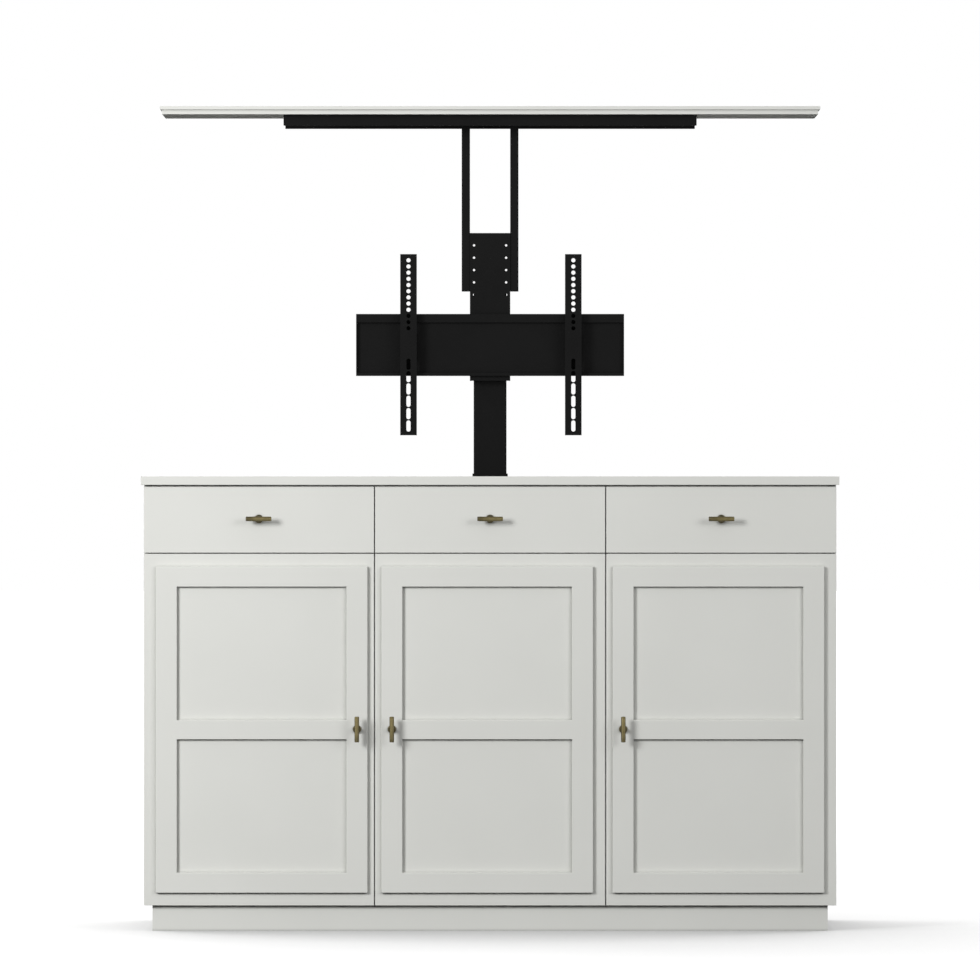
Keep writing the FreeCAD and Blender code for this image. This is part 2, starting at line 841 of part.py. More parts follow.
def lid_carrier():
    """Channel under the lid that opens downwards and at both ends."""
    half = carrier_length / 2
    front = lid_axis - carrier_depth / 2
    back = lid_axis + carrier_depth / 2
    block = box(-half, half, front, back, carrier_foot, lid_foot)
    hollow = box(-half - past, half + past, front + carrier_sheet, back - carrier_sheet,
                 carrier_foot - past, lid_foot - carrier_sheet)
    channel = block.cut(hollow)
    corners = [
        (half, carrier_foot),
        (half, carrier_foot + carrier_corner),
        (half - carrier_corner, carrier_foot),
    ]
    for side in (-1, 1):
        corner = plane_piece([(side * x, z) for x, z in corners], front - past, back + past)
        channel = channel.cut(corner)
    return [channel]


def lid():
    """Two glued boards: the upper one rests on the ledge, the lower one fills the opening."""
    joint = lid_top - lid_board
    half_lower = half_opening - lid_gap
    half_upper = half_lower + lid_ledge
    lower = box(-half_lower, half_lower, bay_front + lid_gap, bay_back - lid_gap, lid_foot, joint)
    upper = box(-half_upper, half_upper, bay_front + lid_gap - lid_ledge,
                bay_back - lid_gap + lid_ledge, joint, lid_top)
    return [
        upper.makeChamfer(lid_arris, edges_at_level(upper, joint)),
        lower.makeChamfer(lid_arris, edges_at_level(lower, joint)),
    ]


# ---------------------------------------------------------------- control box

def control_box():
    """Housing on the back panel with its cover and, below it, the power inlet."""
    x0 = control_x - control_width / 2
    x1 = control_x + control_width / 2
    front = bay_back - control_depth
    top = control_level + control_height
    housing = box(x0, x1, front + control_cover, bay_back, control_level, top)
    cover = box(x0, x1, front, front + control_cover, control_level, top)
    return [housing, cover, power_socket()]


def power_socket():
    """Inlet under the control box, open downwards for a power lead."""
    x0 = control_x - socket_width / 2
    x1 = control_x + socket_width / 2
    middle = bay_back - control_depth / 2
    depth0 = middle - socket_height / 2
    depth1 = middle + socket_height / 2
    shell = box(x0, x1, depth0, depth1, control_level - socket_depth, control_level)
    hollow = box(x0 + socket_wall, x1 - socket_wall, depth0 + socket_wall, depth1 - socket_wall,
                 control_level - socket_depth - past, control_level - socket_proud)
    return shell.cut(hollow)


def build_all():
    os.makedirs("parts", exist_ok=True)
    for name, side in (("left", -1), ("right", 1)):
        save("side_panel_" + name, side_panel(side))
        save("divider_" + name, divider(side))
        save("upright_" + name, upright(side))
        save("tv_arm_" + name, tv_arm(side))
    for name, centre, side, x0, x1 in BAYS:
        save("door_" + name + "_slab", door_slab(centre, side))
        save("door_" + name + "_frame", door_frame(centre, side))
        save("door_" + name + "_handle", door_handle(centre, side))
        save("door_" + name + "_hinge_cups", hinge_cups(centre, side))
        save("drawer_" + name + "_front", drawer_front(centre))
        save("drawer_" + name + "_box", drawer_box(x0, x1))
        save("drawer_" + name + "_slide_bars", slide_bars(x0, x1))
        save("drawer_" + name + "_handle", drawer_handle(centre))
    singles = {
        "bottom_panel": bottom_panel,
        "bay_partition": bay_partition,
        "back_panel": back_panel,
        "cable_grommet": cable_grommet,
        "case_rails": case_rails,
        "plinth": plinth,
        "shelves": shelves,
        "shelf_pins": shelf_pins,
        "countertop": countertop,
        "hinge_arms": hinge_arms,
        "slide_channels": slide_channels,
        "outer_column": outer_column,
        "middle_column": middle_column,
        "mast": mast,
        "lift_base": lift_base,
        "base_screws": base_screws,
        "column_brackets": column_brackets,
        "motor_unit": motor_unit,
        "head_bracket": head_bracket,
        "carriage_plate": carriage_plate,
        "flange_bolts": flange_bolts,
        "crossbar": crossbar,
        "lid_carrier": lid_carrier,
        "lid": lid,
        "control_box": control_box,
    }
    for name, make in singles.items():
        save(name, make())
    for stage, name in enumerate(("actuator_tube", "actuator_middle_tube", "actuator_rod")):
        save(name, actuator_stage(stage))


build_all()
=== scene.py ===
import math

import bmesh
import bpy
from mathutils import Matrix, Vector


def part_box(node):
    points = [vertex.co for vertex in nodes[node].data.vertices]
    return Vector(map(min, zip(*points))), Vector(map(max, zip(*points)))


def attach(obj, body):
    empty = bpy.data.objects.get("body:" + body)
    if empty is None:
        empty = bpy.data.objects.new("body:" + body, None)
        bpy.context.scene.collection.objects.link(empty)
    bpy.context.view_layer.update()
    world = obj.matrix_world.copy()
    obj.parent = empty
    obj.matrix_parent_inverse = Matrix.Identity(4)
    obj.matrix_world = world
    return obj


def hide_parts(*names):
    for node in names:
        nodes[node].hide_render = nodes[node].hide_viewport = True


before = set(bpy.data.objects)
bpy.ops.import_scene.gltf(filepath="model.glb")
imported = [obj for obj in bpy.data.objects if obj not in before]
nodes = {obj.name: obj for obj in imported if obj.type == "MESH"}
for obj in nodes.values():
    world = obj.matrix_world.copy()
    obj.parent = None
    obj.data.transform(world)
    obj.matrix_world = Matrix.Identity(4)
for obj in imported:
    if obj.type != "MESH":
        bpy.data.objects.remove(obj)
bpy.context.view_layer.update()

# Metres, +Z up, the doors face -Y.
MM = 0.001
X, Y, Z = Vector((1, 0, 0)), Vector((0, 1, 0)), Vector((0, 0, 1))
BAYS = ("left", "middle", "right")
UPRIGHT_PANELS = ("side_panel_left", "divider_left", "divider_right", "side_panel_right")

door_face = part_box("door_left_slab")[0].y


# ---------------------------------------------------------------- camera

CAMERA_ASIDE = -0.0002        # from the middle of the cabinet
CAMERA_DISTANCE = 18.0        # in front of the door faces
CAMERA_HEIGHT = 1.051
FOCAL_PIXELS = 7554.5
IMAGE_PIXELS = 980
SENSOR = 36.0                 # millimetres, as Blender takes it
CLIP_NEAR, CLIP_FAR = 0.1, 200.0


def make_camera():
    data = bpy.data.cameras.new("camera")
    data.sensor_width = SENSOR
    data.lens = FOCAL_PIXELS / IMAGE_PIXELS * SENSOR
    data.clip_start = CLIP_NEAR
    data.clip_end = CLIP_FAR
    camera = bpy.data.objects.new("camera", data)
    camera.location = (CAMERA_ASIDE, door_face - CAMERA_DISTANCE, CAMERA_HEIGHT)
    camera.rotation_euler = (math.pi / 2, 0, 0)
    bpy.context.scene.collection.objects.link(camera)
    bpy.context.scene.camera = camera


make_camera()


# ---------------------------------------------------------------- materials

class Nodes:
    """Short names for the nodes of one material or world."""

    def __init__(self, owner):
        owner.use_nodes = True
        self.tree = owner.node_tree
        self.tree.nodes.clear()

    def feed(self, socket, value):
        """Gives a socket its value, or links it to another socket."""
        if isinstance(value, bpy.types.NodeSocket):
            self.tree.links.new(value, socket)
        else:
            socket.default_value = value

    def add(self, kind, inputs=None, **settings):
        node = self.tree.nodes.new("ShaderNode" + kind)
        for key, value in settings.items():
            setattr(node, key, value)
        for key, value in (inputs or {}).items():
            self.feed(node.inputs[key], value)
        return node

    def math(self, operation, a, b, clamp=False):
        return self.add("Math", {0: a, 1: b}, operation=operation, use_clamp=clamp).outputs[0]

    def span(self, value, low, high, to_low=0.0, to_high=1.0):
        """Maps a value from one range to another."""
        return self.add("MapRange", {"Value": value, "From Min": low, "From Max": high,
                                     "To Min": to_low, "To Max": to_high}).outputs[0]

    def blend(self, factor, first, second, mode="MIX"):
        """Mixes two colours; the colour sockets of a Mix node are 6, 7 and, out, 2."""
        node = self.add("Mix", data_type="RGBA", blend_type=mode)
        self.feed(node.inputs[0], factor)
        self.feed(node.inputs[6], first)
        self.feed(node.inputs[7], second)
        return node.outputs[2]

    def noise(self, coordinates, scale, detail, roughness=0.5):
        return self.add("TexNoise", {"Vector": coordinates, "Scale": scale, "Detail": detail,
                                     "Roughness": roughness}).outputs["Fac"]


def rgba(colour):
    return (*colour, 1.0)


NOISE_SPAN = (0.3, 0.7)       # nearly all of a noise lies between these
WEAR_SPAN, LEAST_WEAR = (0.35, 0.7), 0.2
EDGE_SPAN = (0.995, 0.90)     # cosine between the softened and the true normal, flat to edge
FLECK_SCALE, FLECK_SPAN = 1400.0, (0.62, 0.72)
GRAIN_SHINE = 0.03            # how far the grain moves the roughness up and down
BEVEL_SAMPLES, PAINTED_CORNER_SAMPLES = 4, 8


def finish_material(name, colours, edge_colour, roughness, *, metallic=0.0, specular=0.5,
                    stretch=(1, 1, 1), cloud_scale=6.0, grain_scale=900.0, grain_bump=0.02,
                    wave_bump=0.0, wave_scale=60.0, edge_radius=0.8, edge_wear=0.5,
                    fleck=0.0, painted_corner_reach=10.0, painted_corner_shade=0.0, patina_and_shade=None):
    """A surface with clouded colour and roughness, fine grain, worn edges and painted shade.

    Bumps, edge_radius and the reach of the painted corner shade are in millimetres. The painted
    corner shade darkens the colour in corners, gaps and under parts, where ambient occlusion
    finds other surfaces near. Where the mesh's layer of rub and shade is below 1, the colour
    goes towards the patina colour, which stands partly for patina and partly for painted shade."""
    material = bpy.data.materials.new(name)
    n = Nodes(material)
    place = n.add("TexCoord").outputs["Object"]
    along = n.add("Mapping", {"Vector": place, "Scale": stretch}).outputs["Vector"]
    cloud = n.noise(along, cloud_scale, detail=5.0, roughness=0.55)
    grain = n.noise(along, grain_scale, detail=2.0, roughness=0.6)
    wave = n.noise(along, wave_scale, detail=2.0)
    bevel = n.add("Bevel", {"Radius": edge_radius * MM}, samples=BEVEL_SAMPLES)
    soft_normal = bevel.outputs["Normal"]
    true_normal = n.add("NewGeometry").outputs["Normal"]
    facing = n.add("VectorMath", {0: soft_normal, 1: true_normal}, operation="DOT_PRODUCT")
    edge = n.span(facing.outputs["Value"], *EDGE_SPAN)
    worn = n.math("MULTIPLY", edge, n.span(cloud, *WEAR_SPAN, LEAST_WEAR, edge_wear), clamp=True)
    colour = n.blend(n.span(cloud, *NOISE_SPAN), rgba(colours[0]), rgba(colours[1]))
    # Towards the patina colour where the mesh's brightness layer says so: partly patina, partly
    # painted shade.
    if patina_and_shade:
        rub_and_shade = n.add("Attribute", attribute_name="rub_and_shade").outputs["Fac"]
        colour = n.blend(rub_and_shade, rgba(patina_and_shade), colour)
    if fleck:
        speck = n.span(n.noise(place, FLECK_SCALE, detail=1.0), *FLECK_SPAN, 0.0, fleck)
        colour = n.blend(speck, colour, rgba(edge_colour))
    colour = n.blend(worn, colour, rgba(edge_colour))
    # Painted shade: the colour darkens in corners, gaps and under parts, where ambient occlusion
    # finds other surfaces near.
    if painted_corner_shade:
        nook = n.add("AmbientOcclusion", {"Distance": painted_corner_reach * MM}, samples=PAINTED_CORNER_SAMPLES)
        shade = n.span(nook.outputs["AO"], 0.0, 1.0, 1.0 - painted_corner_shade, 1.0)
        colour = n.blend(1.0, colour, shade, "MULTIPLY")
    shine = n.math("ADD", n.span(cloud, *NOISE_SPAN, *roughness),
                   n.span(grain, *NOISE_SPAN, -GRAIN_SHINE, GRAIN_SHINE))
    height = n.math("ADD", n.math("MULTIPLY", grain, grain_bump * MM),
                    n.math("MULTIPLY", wave, wave_bump * MM))
    bump = n.add("Bump", {"Height": height, "Normal": soft_normal, "Distance": 1.0,
                          "Strength": 1.0})
    shader = n.add("BsdfPrincipled", {
        "Base Color": colour, "Roughness": shine, "Normal": bump.outputs["Normal"],
        "Metallic": metallic, "Specular IOR Level": specular})
    n.add("OutputMaterial", {"Surface": shader.outputs["BSDF"]})
    return material


# Satin paint with painted shade in its corners, gaps and recesses.
PAINT = finish_material(
    "satin_paint", ((0.722, 0.727, 0.692), (0.748, 0.753, 0.718)), (0.80, 0.805, 0.77),
    (0.66, 0.73), specular=0.05, cloud_scale=3.0, grain_scale=700.0, grain_bump=0.012,
    wave_bump=0.05, wave_scale=55.0, edge_radius=0.6, edge_wear=0.4, painted_corner_reach=7.0,
    painted_corner_shade=0.55)
BOARD = finish_material(
    "melamine_board", ((0.70, 0.69, 0.66), (0.77, 0.76, 0.73)), (0.62, 0.55, 0.44),
    (0.45, 0.6), specular=0.3, stretch=(1, 1, 8), cloud_scale=9.0, grain_scale=500.0,
    grain_bump=0.03, wave_bump=0.03, edge_radius=0.6, edge_wear=0.25)
POWDER = finish_material(
    "black_powder_coat", ((0.0019, 0.0019, 0.0019), (0.0026, 0.0026, 0.0026)),
    (0.010, 0.010, 0.010), (0.55, 0.68), specular=0.088, cloud_scale=12.0,
    grain_scale=1500.0, grain_bump=0.05, wave_bump=0.06, wave_scale=240.0, edge_radius=0.6,
    edge_wear=0.7, fleck=0.25)
PLASTIC = finish_material(
    "black_moulded_plastic", ((0.010, 0.010, 0.011), (0.016, 0.016, 0.017)),
    (0.03, 0.03, 0.03), (0.38, 0.5), specular=0.3, cloud_scale=20.0, grain_scale=1800.0,
    grain_bump=0.03, edge_radius=0.7, edge_wear=0.4)
# Antique brass with painted shade near the door and on the rosette, and a patina colour that
# stands partly for painted shade.
BRASS = finish_material(
    "antique_brass", ((0.13, 0.107, 0.047), (0.21, 0.172, 0.083)), (0.36, 0.31, 0.18),
    (0.28, 0.46), metallic=1.0, cloud_scale=90.0, grain_scale=2400.0, grain_bump=0.02,
    wave_bump=0.01, wave_scale=400.0, edge_radius=0.5, edge_wear=0.5, painted_corner_reach=18.0,
    painted_corner_shade=0.75, patina_and_shade=(0.052, 0.045, 0.026))
NICKEL = finish_material(
    "nickel_plate", ((0.50, 0.50, 0.50), (0.60, 0.60, 0.61)), (0.72, 0.72, 0.73),
    (0.22, 0.36), metallic=1.0, cloud_scale=40.0, grain_scale=1800.0, grain_bump=0.01,
    edge_radius=0.4, edge_wear=0.5)
ZINC = finish_material(
    "zinc_plate", ((0.30, 0.30, 0.31), (0.42, 0.42, 0.43)), (0.55, 0.55, 0.56),
    (0.32, 0.5), metallic=1.0, cloud_scale=60.0, grain_scale=1500.0, grain_bump=0.02,
    edge_radius=0.4, edge_wear=0.4)
GROUND_STEEL = finish_material(
    "ground_steel", ((0.45, 0.45, 0.47), (0.56, 0.56, 0.58)), (0.68, 0.68, 0.70),
    (0.18, 0.3), metallic=1.0, stretch=(1, 1, 0.05), cloud_scale=60.0, grain_scale=2600.0,
    grain_bump=0.01, edge_radius=0.4, edge_wear=0.5)
SLOTS = {
    "painted_board": PAINT, "case_board": BOARD, "black_steel": POWDER,
    "black_plastic": PLASTIC, "aged_brass": BRASS, "bright_steel": NICKEL,
    "bolt_steel": ZINC, "actuator_steel": GROUND_STEEL,
}


# ---------------------------------------------------------------- shape helpers

EDGE_ANGLE = math.radians(38)     # edges sharper than this are rounded
FLAT_ANGLE = math.radians(0.3)    # faces that meet flatter than this are merged
WELD_GAP = 0.01 * MM
NODE_SEGMENTS, PIECE_SEGMENTS = 2, 3   # of a rounded edge
HEXAGON, SHANK_SIDES, WASHER_SIDES = 6, 24, 28
# Shares of the height and of the radius of a screw head, from its seat into its recess.
SCREW_PROFILE = ((0, 0.92), (0.25, 1), (0.6, 0.94), (0.92, 0.7), (1, 0.5), (1, 0.34),
                 (0.35, 0.3))
SCREW_SIDES = 20
HEAD_SINK = 0.1 * MM          # how far a head or a stop runs into its seat


class Shape:
    """The mesh of one piece, gathered from rounded blocks, turned profiles and plates."""

    def __init__(self):
        self.mesh = bmesh.new()

    def _take(self, part):
        bmesh.ops.recalc_face_normals(part, faces=part.faces)
        data = bpy.data.meshes.new("part")
        part.to_mesh(data)
        part.free()
        self.mesh.from_mesh(data)
        bpy.data.meshes.remove(data)
        return self

    def block(self, low, high, radius=0.0, segments=2):
        """A block between two corners, in metres, with rounded edges."""
        part = bmesh.new()
        bmesh.ops.create_cube(part, size=1.0)
        size = Vector(high) - Vector(low)
        middle = (Vector(high) + Vector(low)) / 2
        for vertex in part.verts:
            vertex.co = Vector([vertex.co[i] * size[i] + middle[i] for i in range(3)])
        if radius:
            bmesh.ops.bevel(part, geom=part.edges[:], offset=radius, segments=segments,
                            profile=0.5, affect="EDGES", clamp_overlap=True)
        return self._take(part)

    def turned(self, start, axis, profile, sides):
        """A closed solid of revolution: profile gives (distance along axis, radius)."""
        part = bmesh.new()
        axis = Vector(axis).normalized()
        across = axis.orthogonal().normalized()
        other = axis.cross(across)
        rings = []
        for distance, radius in profile:
            centre = Vector(start) + axis * distance
            rings.append([
                part.verts.new(centre + radius * (math.cos(angle) * across
                                                  + math.sin(angle) * other))
                for angle in (2 * math.pi * i / sides for i in range(sides))])
        for first, second in zip(rings, rings[1:]):
            for i in range(sides):
                j = (i + 1) % sides
                part.faces.new((first[i], first[j], second[j], second[i]))
        part.faces.new(rings[0])
        part.faces.new(rings[-1])
        return self._take(part)

    def grid_plate(self, xs, zs, holes, y0, y1):
        """A plate between depths y0 and y1, cut by grid lines, without the cells in holes."""
        part = bmesh.new()
        corners = {}

        def corner(i, k, y):
            key = (i, k, y)
            if key not in corners:
                corners[key] = part.verts.new((xs[i], y, zs[k]))
            return corners[key]

        kept = {(i, k) for i in range(len(xs) - 1) for k in range(len(zs) - 1)} - set(holes)
        for i, k in kept:
            ring = ((i, k), (i + 1, k), (i + 1, k + 1), (i, k + 1))
            for y in (y0, y1):
                part.faces.new([corner(a, b, y) for a, b in ring])
            sides = (((i, k - 1), 0), ((i + 1, k), 1), ((i, k + 1), 2), ((i - 1, k), 3))
            for beyond, edge in sides:
                if beyond not in kept:
                    a, b = ring[edge], ring[(edge + 1) % 4]
                    part.faces.new((corner(*a, y0), corner(*b, y0),
                                    corner(*b, y1), corner(*a, y1)))
        return self._take(part)

    def screw_head(self, seat, axis, radius, height):
        """A low round head with a recess."""
        profile = [(height * up, radius * out) for up, out in SCREW_PROFILE]
        return self.turned(seat, axis, profile, sides=SCREW_SIDES)

    def piece(self, name, material, body, slot, replaces=(), bevel=0.0):
        data = bpy.data.meshes.new(name)
        self.mesh.to_mesh(data)
        self.mesh.free()
        data.shade_smooth()
        piece = bpy.data.objects.new(name, data)
        bpy.context.scene.collection.objects.link(piece)
        data.materials.append(material)
        if bevel:
            round_edges(piece, bevel, PIECE_SEGMENTS)
        flatten(piece)
        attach(piece, body)
        if replaces:
            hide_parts(*replaces)
        return piece


def scaled(profile):
    """A profile in metres from one in millimetres."""
    return [(distance * MM, radius * MM) for distance, radius in profile]


def evenly(low, high, steps):
    """Places from low to high, both included, that many equal steps apart."""
    return [low + (high - low) * i / steps for i in range(steps + 1)]


def round_edges(piece, width, segments):
    """Rounds the sharp edges with a modifier; the width is in millimetres."""
    bevel = piece.modifiers.new("rounded_edges", "BEVEL")
    bevel.width = width * MM
    bevel.segments = segments
    bevel.limit_method = "ANGLE"
    bevel.angle_limit = EDGE_ANGLE
    bevel.loop_slide = False


def flatten(piece):
    """Keeps the broad faces flat and the rounded edges smooth."""
    normals = piece.modifiers.new("face_normals", "WEIGHTED_NORMAL")
    normals.keep_sharp = False
    normals.weight = 100


def soften_node(name, width):
    """Rounds the edges of a CAD node with modifiers alone; the width is in millimetres."""
    node = nodes[name]
    weld = node.modifiers.new("weld", "WELD")
    weld.merge_threshold = WELD_GAP
    merge = node.modifiers.new("merge_flat_faces", "DECIMATE")
    merge.decimate_type = "DISSOLVE"
    merge.angle_limit = FLAT_ANGLE
    round_edges(node, width, NODE_SEGMENTS)
    flatten(node)


# ---------------------------------------------------------------- CAD nodes that stay

# How far the edges of each node are rounded, in millimetres. Nodes whose solids touch each
# other are left out, because the weld would join them.
ROUNDED_NODES = {
    "countertop": 0.6, "lid": 0.3, "side_panel_left": 0.9, "side_panel_right": 0.9,
    "bottom_panel": 0.5, "divider_left": 0.5, "divider_right": 0.5, "bay_partition": 0.5,
    "back_panel": 0.5, "case_rails": 0.5, "shelves": 0.8, "slide_channels": 0.3,
    "hinge_arms": 0.7, "mast": 0.5, "head_bracket": 0.6, "carriage_plate": 0.4,
    "crossbar": 0.5, "lid_carrier": 0.5, "upright_left": 0.5, "upright_right": 0.5,
    "tv_arm_left": 0.4, "tv_arm_right": 0.4, "lift_base": 0.6, "column_brackets": 0.6,
    "cable_grommet": 0.6,
}
for bay in BAYS:
    ROUNDED_NODES[f"door_{bay}_slab"] = 0.6
    ROUNDED_NODES[f"drawer_{bay}_front"] = 0.6
    ROUNDED_NODES[f"drawer_{bay}_slide_bars"] = 0.4
    ROUNDED_NODES[f"door_{bay}_hinge_cups"] = 0.3

for node in nodes.values():
    slot = node.material_slots[0]
    slot.material = SLOTS[slot.material.name]
for name, width in ROUNDED_NODES.items():
    soften_node(name, width)


# ---------------------------------------------------------------- doors and drawers

STILE, RAIL, MIDDLE_RAIL = 50 * MM, 48 * MM, 46 * MM
FRAME_SINK = 2 * MM           # how far the raised frame runs into the slab behind it
FRAME_EDGE = 1.1              # rounding of its edges, in millimetres

# Handles, in millimetres.
STEM_RADIUS = 4.5
ROSE_PROFILE = ((0, 9.9), (0.3, 10.0), (2.6, 10.0), (3.4, 9.6), (3.9, 8.8), (4.0, 8.0),
                (3.9, 7.2), (3.7, 6.2), (4.1, 5.3), (5.0, 4.7), (6.4, STEM_RADIUS))
ROSE_SIDES = 48
BAR_RADIUS = 5.5
BAR_END = ((0, 3.9), (0.25, 4.6), (0.8, 5.2), (1.5, BAR_RADIUS), (3.4, BAR_RADIUS),
           (3.65, 5.2), (4.25, 5.2), (4.5, BAR_RADIUS))
BAR_SIDES = 40
BAR_SLACK = 0.1               # points this far outside the bar still belong to it
GRIP_RINGS = 12

# How bright the brass is, where 1 is bright and 0 is the patina colour: partly patina on the
# rosette and bar ends, partly painted shade that darkens the left or lower end of each bar and
# the upright bars. Places along a bar run from -1 at its left or lower end to 1 at the other.
ROSE_RUB_AND_SHADE = 0.25
BAR_END_RUB_AND_SHADE, BAR_RUB_AND_SHADE_RISE, BAR_RUB_AND_SHADE_REACH = 0.15, 0.68, 1.2
BAR_DULL_PLACE, BAR_DULL_FALL = 0.7, 0.2
UPRIGHT_RUB_AND_SHADE = 0.8             # share of that on the upright bars of the doors

DRAWER_WALL, DRAWER_BOTTOM, DRAWER_LIFT = 12 * MM, 6 * MM, 8 * MM
WALL_EDGE, BOTTOM_EDGE = 0.8 * MM, 0.3 * MM

CUP_FLANGE_HALF, CUP_SCREW_SPREAD = 26 * MM, 20 * MM
STOP_PROFILE = ((0, 4.4), (0.5, 4.4), (1.1, 3.8), (1.5, 2.6))
STOP_INSET, STOP_LEVEL = 14 * MM, 25 * MM


def raised_frame(bay):
    """Stiles and rails of one door as a single routed frame without joints."""
    low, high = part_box(f"door_{bay}_frame")
    middle = (low.z + high.z) / 2
    xs = (low.x, low.x + STILE, high.x - STILE, high.x)
    zs = (low.z, low.z + RAIL, middle - MIDDLE_RAIL / 2, middle + MIDDLE_RAIL / 2,
          high.z - RAIL, high.z)
    panels = ((1, 1), (1, 3))
    shape = Shape().grid_plate(xs, zs, panels, low.y, high.y + FRAME_SINK)
    shape.piece(f"door_{bay}_raised_frame", PAINT, f"door_{bay}", "painted_board",
                [f"door_{bay}_frame"], bevel=FRAME_EDGE)


def bar_rub_and_shade(place):
    """How bright a bar is at a place along it: bright in the middle, darker towards its ends and
    most at the left or lower end, partly patina and partly painted shade.
    """
    reach = min((place + 1) / BAR_RUB_AND_SHADE_REACH, 1.0)
    dull = BAR_DULL_FALL * max(place - BAR_DULL_PLACE, 0.0)
    return BAR_END_RUB_AND_SHADE + BAR_RUB_AND_SHADE_RISE * reach * (2 - reach) - dull


def pull(node, body, bar_axis):
    """Turned bar on a stem and a rosette, bright in the middle and darker towards the rosette
    and the ends of the bar, partly patina and partly painted shade.
    """
    low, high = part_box(node)
    centre = (low + high) / 2
    bar_depth = low.y + BAR_RADIUS * MM
    reach = high.y - bar_depth
    length = (high - low).dot(bar_axis) / MM
    shape = Shape()
    seat = Vector((centre.x, high.y, centre.z))
    rose = scaled(ROSE_PROFILE) + [(reach, STEM_RADIUS * MM)]
    shape.turned(seat, -Y, rose, sides=ROSE_SIDES)
    other_end = tuple((length - distance, radius) for distance, radius in reversed(BAR_END))
    grip_end = BAR_END[-1][0]
    grip = tuple((distance, BAR_RADIUS)
                 for distance in evenly(grip_end, length - grip_end, GRIP_RINGS)[1:-1])
    bar_centre = Vector((centre.x, bar_depth, centre.z))
    start = bar_centre - bar_axis * length / 2 * MM
    shape.turned(start, bar_axis, scaled(BAR_END + grip + other_end), sides=BAR_SIDES)
    piece = shape.piece(node.replace("handle", "pull"), BRASS, body, "aged_brass", [node])
    # Brightness layer of the brass: patina on the rosette and bar ends, and painted shade that
    # darkens the left or lower end of each bar and the upright bars as a whole.
    share = UPRIGHT_RUB_AND_SHADE if bar_axis == Z else 1.0
    rub_and_shade_layer = piece.data.attributes.new("rub_and_shade", "FLOAT", "POINT")
    for vertex, rub_and_shade in zip(piece.data.vertices, rub_and_shade_layer.data):
        offset = vertex.co - bar_centre
        along = offset.dot(bar_axis)
        on_bar = (offset - bar_axis * along).length < (BAR_RADIUS + BAR_SLACK) * MM
        rub_and_shade.value = share * bar_rub_and_shade(along / (length / 2 * MM)) if on_bar else ROSE_RUB_AND_SHADE


def drawer_boards(bay):
    """Five boards of the drawer box, each with its own rounded edges."""
    name = f"drawer_{bay}_box"
    low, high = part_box(name)
    foot = low.z + DRAWER_LIFT
    inner_low = Vector((low.x + DRAWER_WALL, low.y + DRAWER_WALL, foot))
    inner_high = Vector((high.x - DRAWER_WALL, high.y - DRAWER_WALL, foot + DRAWER_BOTTOM))
    left = (low, (inner_low.x, high.y, high.z))
    right = ((inner_high.x, low.y, low.z), high)
    front = ((inner_low.x, low.y, low.z), (inner_high.x, inner_low.y, high.z))
    back = ((inner_low.x, inner_high.y, low.z), (inner_high.x, high.y, high.z))
    shape = Shape()
    for corners in (left, right, front, back):
        shape.block(*corners, radius=WALL_EDGE)
    shape.block(inner_low, inner_high, radius=BOTTOM_EDGE)
    shape.piece(f"drawer_{bay}_boards", BOARD, f"drawer_{bay}", "case_board", [name])


def hinge_levels(low, high, half_height):
    """Heights of the three hinges, from the box of a node that spans them."""
    return low.z + half_height, (low.z + high.z) / 2, high.z - half_height


def cup_screws(bay):
    """Two screws in the flange of each hinge cup."""
    low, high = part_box(f"door_{bay}_hinge_cups")
    x = (low.x + high.x) / 2
    shape = Shape()
    for level in hinge_levels(low, high, CUP_FLANGE_HALF):
        for rise in (-CUP_SCREW_SPREAD, CUP_SCREW_SPREAD):
            shape.screw_head((x, high.y - HEAD_SINK, level + rise), Y,
                             radius=3 * MM, height=0.9 * MM)
    shape.piece(f"door_{bay}_cup_screws", ZINC, f"door_{bay}", "bolt_steel")


def soft_stops(bay):
    """Two buttons on the back of the door, at the side away from its hinges."""
    cups_low, cups_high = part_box(f"door_{bay}_hinge_cups")
    low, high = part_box(f"door_{bay}_slab")
    hinged_right = cups_low.x + cups_high.x > low.x + high.x
    x = low.x + STOP_INSET if hinged_right else high.x - STOP_INSET
    shape = Shape()
    for level in (low.z + STOP_LEVEL, high.z - STOP_LEVEL):
        shape.turned((x, high.y - HEAD_SINK, level), Y, scaled(STOP_PROFILE), sides=24)
    shape.piece(f"door_{bay}_soft_stops", PLASTIC, f"door_{bay}", "black_plastic")


for bay in BAYS:
    raised_frame(bay)
    pull(f"door_{bay}_handle", f"door_{bay}", Z)
    pull(f"drawer_{bay}_handle", f"drawer_{bay}", X)
    drawer_boards(bay)
    cup_screws(bay)
    soft_stops(bay)


# ---------------------------------------------------------------- fixings inside the case

def hinge_plate_screws():
    """Two screws in the plate of each hinge arm."""
    walls = ((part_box("side_panel_left")[1].x, 1), (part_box("divider_right")[0].x, -1),
             (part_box("side_panel_right")[0].x, -1))
    plate_half, spread, plate = 25 * MM, 17 * MM, 6 * MM
    row_depth = 37 * MM       # behind the front edge of the side panel
    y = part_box("side_panel_left")[0].y + row_depth
    shape = Shape()
    for wall, inward in walls:
        x = wall + inward * (plate - HEAD_SINK)
        for level in hinge_levels(*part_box("hinge_arms"), plate_half):
            for rise in (-spread, spread):
                shape.screw_head((x, y, level + rise), X * inward,
                                 radius=3.6 * MM, height=1.4 * MM)
    shape.piece("hinge_plate_screws", ZINC, "cabinet", "bolt_steel")


